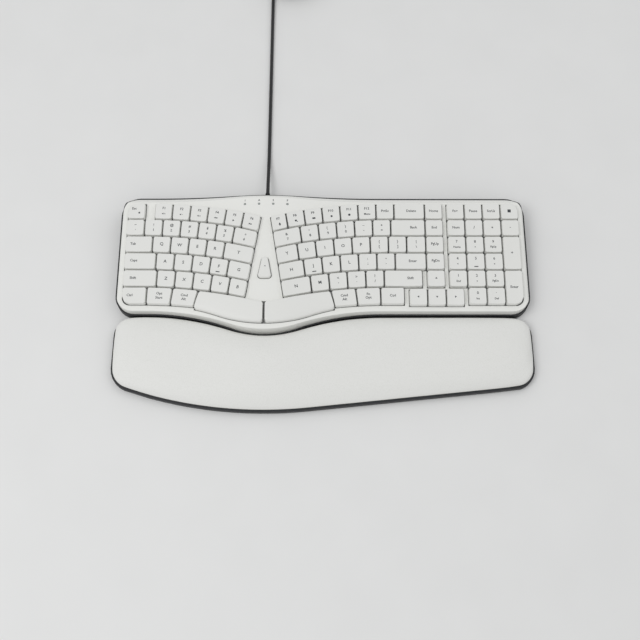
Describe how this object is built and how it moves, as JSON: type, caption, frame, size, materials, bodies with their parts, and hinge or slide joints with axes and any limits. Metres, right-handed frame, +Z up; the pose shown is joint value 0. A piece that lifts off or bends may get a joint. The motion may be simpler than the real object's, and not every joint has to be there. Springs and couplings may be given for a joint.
{
  "type": "ergonomic split keyboard",
  "caption": "Wired split keyboard with a gull-wing deck, fanned key rows, a number pad, folding rear feet and a fixed padded palm rest.",
  "frame": {"origin": "on the table under the middle of the keyboard and its palm rest, without the cord", "axes": "+X along the width to the number pad, +Y to the back where the cord leaves, +Z up"},
  "size_m": [0.43, 0.6358, 0.0366],
  "materials": {
    "white_plastic": "fine moulded texture",
    "key_plastic": "smooth matt",
    "charcoal_plastic": "fine moulded texture",
    "dark_plastic": "matt",
    "soft_skin": "soft grained skin over foam",
    "dome_rubber": "silicone",
    "black_rubber": "matt",
    "cord_jacket": "satin",
    "polyester_film": "clear film",
    "steel": "zinc plated",
    "circuit_board": "solder mask",
    "clear_plastic": "clear"
  },
  "bodies": {
    "case": {"bottom_case": "charcoal_plastic", "top_case": "white_plastic", "key_frame": "dark_plastic", "rubber_domes": "dome_rubber", "contact_sheet": "polyester_film", "back_plate": "steel", "controller_board": "circuit_board", "tail_clamp": "dark_plastic", "indicator_lights": "clear_plastic", "screws": "steel", "palm_rest_base": "charcoal_plastic", "palm_rest_pad": "soft_skin", "rubber_feet": "black_rubber", "strain_relief": "black_rubber", "cable": "cord_jacket", "cable_coil": "cord_jacket", "cable_tie": "black_rubber", "plug_grip": "black_rubber", "plug_shell": "steel"},
    "key_escape": {"key_escape": "key_plastic"},
    "keys_function_left": {"keys_function_left": "key_plastic"},
    "keys_number_left": {"keys_number_left": "key_plastic"},
    "key_tab": {"key_tab": "key_plastic"},
    "keys_upper_left": {"keys_upper_left": "key_plastic"},
    "key_caps_lock": {"key_caps_lock": "key_plastic"},
    "keys_home_left": {"keys_home_left": "key_plastic"},
    "key_shift_left": {"key_shift_left": "key_plastic"},
    "keys_lower_left": {"keys_lower_left": "key_plastic"},
    "keys_modifier_left": {"keys_modifier_left": "key_plastic"},
    "space_bar_left": {"space_bar_left": "key_plastic"},
    "key_delete": {"key_delete": "key_plastic"},
    "keys_function_right": {"keys_function_right": "key_plastic"},
    "key_backspace": {"key_backspace": "key_plastic"},
    "keys_number_right": {"keys_number_right": "key_plastic"},
    "keys_upper_right": {"keys_upper_right": "key_plastic"},
    "key_enter": {"key_enter": "key_plastic"},
    "keys_home_right": {"keys_home_right": "key_plastic"},
    "key_shift_right": {"key_shift_right": "key_plastic"},
    "keys_lower_right": {"keys_lower_right": "key_plastic"},
    "keys_modifier_right": {"keys_modifier_right": "key_plastic"},
    "space_bar_right": {"space_bar_right": "key_plastic"},
    "keys_navigation": {"keys_navigation": "key_plastic"},
    "key_arrow_up": {"key_arrow_up": "key_plastic"},
    "key_arrow_left": {"key_arrow_left": "key_plastic"},
    "key_arrow_down": {"key_arrow_down": "key_plastic"},
    "key_arrow_right": {"key_arrow_right": "key_plastic"},
    "keys_pad_row_1": {"keys_pad_row_1": "key_plastic"},
    "keys_pad_row_2": {"keys_pad_row_2": "key_plastic"},
    "keys_pad_row_3": {"keys_pad_row_3": "key_plastic"},
    "keys_pad_row_4": {"keys_pad_row_4": "key_plastic"},
    "keys_pad_row_5": {"keys_pad_row_5": "key_plastic"},
    "keys_pad_row_6": {"keys_pad_row_6": "key_plastic"},
    "key_pad_plus": {"key_pad_plus": "key_plastic"},
    "key_pad_enter": {"key_pad_enter": "key_plastic"},
    "centre_button": {"centre_button": "key_plastic"},
    "tilt_foot_left": {"tilt_foot_left": "charcoal_plastic"},
    "tilt_foot_right": {"tilt_foot_right": "charcoal_plastic"}
  },
  "joints": [
    {"name": "tilt_foot_left_fold", "type": "hinge", "parent": "case", "child": "tilt_foot_left", "pos_m": [-0.153, 0.0975, 0.0036], "axis": [1, 0, 0], "range_deg": [0, 85]},
    {"name": "tilt_foot_right_fold", "type": "hinge", "parent": "case", "child": "tilt_foot_right", "pos_m": [0.153, 0.0975, 0.0036], "axis": [1, 0, 0], "range_deg": [0, 85]},
    {"name": "key_escape_press", "type": "slide", "parent": "case", "child": "key_escape", "axis": [0, 0.0523, -0.9986], "range_m": [0, 0.0025], "stiffness_N_per_m": 120, "springref_m": -0.002},
    {"name": "keys_function_left_press", "type": "slide", "parent": "case", "child": "keys_function_left", "axis": [0, 0.0523, -0.9986], "range_m": [0, 0.0025], "stiffness_N_per_m": 720, "springref_m": -0.002},
    {"name": "keys_number_left_press", "type": "slide", "parent": "case", "child": "keys_number_left", "axis": [0, 0.0523, -0.9986], "range_m": [0, 0.0025], "stiffness_N_per_m": 840, "springref_m": -0.002},
    {"name": "key_tab_press", "type": "slide", "parent": "case", "child": "key_tab", "axis": [0, 0.0523, -0.9986], "range_m": [0, 0.0025], "stiffness_N_per_m": 120, "springref_m": -0.002},
    {"name": "keys_upper_left_press", "type": "slide", "parent": "case", "child": "keys_upper_left", "axis": [0, 0.0523, -0.9986], "range_m": [0, 0.0025], "stiffness_N_per_m": 600, "springref_m": -0.002},
    {"name": "key_caps_lock_press", "type": "slide", "parent": "case", "child": "key_caps_lock", "axis": [0, 0.0523, -0.9986], "range_m": [0, 0.0025], "stiffness_N_per_m": 120, "springref_m": -0.002},
    {"name": "keys_home_left_press", "type": "slide", "parent": "case", "child": "keys_home_left", "axis": [0, 0.0523, -0.9986], "range_m": [0, 0.0025], "stiffness_N_per_m": 600, "springref_m": -0.002},
    {"name": "key_shift_left_press", "type": "slide", "parent": "case", "child": "key_shift_left", "axis": [0, 0.0523, -0.9986], "range_m": [0, 0.0025], "stiffness_N_per_m": 120, "springref_m": -0.002},
    {"name": "keys_lower_left_press", "type": "slide", "parent": "case", "child": "keys_lower_left", "axis": [0, 0.0523, -0.9986], "range_m": [0, 0.0025], "stiffness_N_per_m": 600, "springref_m": -0.002},
    {"name": "keys_modifier_left_press", "type": "slide", "parent": "case", "child": "keys_modifier_left", "axis": [0, 0.0523, -0.9986], "range_m": [0, 0.0025], "stiffness_N_per_m": 360, "springref_m": -0.002},
    {"name": "space_bar_left_press", "type": "slide", "parent": "case", "child": "space_bar_left", "axis": [0, 0.0523, -0.9986], "range_m": [0, 0.0025], "stiffness_N_per_m": 120, "springref_m": -0.002},
    {"name": "key_delete_press", "type": "slide", "parent": "case", "child": "key_delete", "axis": [0, 0.0523, -0.9986], "range_m": [0, 0.0025], "stiffness_N_per_m": 120, "springref_m": -0.002},
    {"name": "keys_function_right_press", "type": "slide", "parent": "case", "child": "keys_function_right", "axis": [0, 0.0523, -0.9986], "range_m": [0, 0.0025], "stiffness_N_per_m": 840, "springref_m": -0.002},
    {"name": "key_backspace_press", "type": "slide", "parent": "case", "child": "key_backspace", "axis": [0, 0.0523, -0.9986], "range_m": [0, 0.0025], "stiffness_N_per_m": 120, "springref_m": -0.002},
    {"name": "keys_number_right_press", "type": "slide", "parent": "case", "child": "keys_number_right", "axis": [0, 0.0523, -0.9986], "range_m": [0, 0.0025], "stiffness_N_per_m": 720, "springref_m": -0.002},
    {"name": "keys_upper_right_press", "type": "slide", "parent": "case", "child": "keys_upper_right", "axis": [0, 0.0523, -0.9986], "range_m": [0, 0.0025], "stiffness_N_per_m": 960, "springref_m": -0.002},
    {"name": "key_enter_press", "type": "slide", "parent": "case", "child": "key_enter", "axis": [0, 0.0523, -0.9986], "range_m": [0, 0.0025], "stiffness_N_per_m": 120, "springref_m": -0.002},
    {"name": "keys_home_right_press", "type": "slide", "parent": "case", "child": "keys_home_right", "axis": [0, 0.0523, -0.9986], "range_m": [0, 0.0025], "stiffness_N_per_m": 720, "springref_m": -0.002},
    {"name": "key_shift_right_press", "type": "slide", "parent": "case", "child": "key_shift_right", "axis": [0, 0.0523, -0.9986], "range_m": [0, 0.0025], "stiffness_N_per_m": 120, "springref_m": -0.002},
    {"name": "keys_lower_right_press", "type": "slide", "parent": "case", "child": "keys_lower_right", "axis": [0, 0.0523, -0.9986], "range_m": [0, 0.0025], "stiffness_N_per_m": 600, "springref_m": -0.002},
    {"name": "keys_modifier_right_press", "type": "slide", "parent": "case", "child": "keys_modifier_right", "axis": [0, 0.0523, -0.9986], "range_m": [0, 0.0025], "stiffness_N_per_m": 360, "springref_m": -0.002},
    {"name": "space_bar_right_press", "type": "slide", "parent": "case", "child": "space_bar_right", "axis": [0, 0.0523, -0.9986], "range_m": [0, 0.0025], "stiffness_N_per_m": 120, "springref_m": -0.002},
    {"name": "keys_navigation_press", "type": "slide", "parent": "case", "child": "keys_navigation", "axis": [0, 0.0523, -0.9986], "range_m": [0, 0.0025], "stiffness_N_per_m": 480, "springref_m": -0.002},
    {"name": "key_arrow_up_press", "type": "slide", "parent": "case", "child": "key_arrow_up", "axis": [0, 0.0523, -0.9986], "range_m": [0, 0.0025], "stiffness_N_per_m": 120, "springref_m": -0.002},
    {"name": "key_arrow_left_press", "type": "slide", "parent": "case", "child": "key_arrow_left", "axis": [0, 0.0523, -0.9986], "range_m": [0, 0.0025], "stiffness_N_per_m": 120, "springref_m": -0.002},
    {"name": "key_arrow_down_press", "type": "slide", "parent": "case", "child": "key_arrow_down", "axis": [0, 0.0523, -0.9986], "range_m": [0, 0.0025], "stiffness_N_per_m": 120, "springref_m": -0.002},
    {"name": "key_arrow_right_press", "type": "slide", "parent": "case", "child": "key_arrow_right", "axis": [0, 0.0523, -0.9986], "range_m": [0, 0.0025], "stiffness_N_per_m": 120, "springref_m": -0.002},
    {"name": "keys_pad_row_1_press", "type": "slide", "parent": "case", "child": "keys_pad_row_1", "axis": [0, 0.0523, -0.9986], "range_m": [0, 0.0025], "stiffness_N_per_m": 480, "springref_m": -0.002},
    {"name": "keys_pad_row_2_press", "type": "slide", "parent": "case", "child": "keys_pad_row_2", "axis": [0, 0.0523, -0.9986], "range_m": [0, 0.0025], "stiffness_N_per_m": 480, "springref_m": -0.002},
    {"name": "keys_pad_row_3_press", "type": "slide", "parent": "case", "child": "keys_pad_row_3", "axis": [0, 0.0523, -0.9986], "range_m": [0, 0.0025], "stiffness_N_per_m": 360, "springref_m": -0.002},
    {"name": "keys_pad_row_4_press", "type": "slide", "parent": "case", "child": "keys_pad_row_4", "axis": [0, 0.0523, -0.9986], "range_m": [0, 0.0025], "stiffness_N_per_m": 360, "springref_m": -0.002},
    {"name": "keys_pad_row_5_press", "type": "slide", "parent": "case", "child": "keys_pad_row_5", "axis": [0, 0.0523, -0.9986], "range_m": [0, 0.0025], "stiffness_N_per_m": 360, "springref_m": -0.002},
    {"name": "keys_pad_row_6_press", "type": "slide", "parent": "case", "child": "keys_pad_row_6", "axis": [0, 0.0523, -0.9986], "range_m": [0, 0.0025], "stiffness_N_per_m": 240, "springref_m": -0.002},
    {"name": "key_pad_plus_press", "type": "slide", "parent": "case", "child": "key_pad_plus", "axis": [0, 0.0523, -0.9986], "range_m": [0, 0.0025], "stiffness_N_per_m": 120, "springref_m": -0.002},
    {"name": "key_pad_enter_press", "type": "slide", "parent": "case", "child": "key_pad_enter", "axis": [0, 0.0523, -0.9986], "range_m": [0, 0.0025], "stiffness_N_per_m": 120, "springref_m": -0.002},
    {"name": "centre_button_press", "type": "slide", "parent": "case", "child": "centre_button", "axis": [0, 0.0523, -0.9986], "range_m": [0, 0.0025], "stiffness_N_per_m": 120, "springref_m": -0.002}
  ]
}
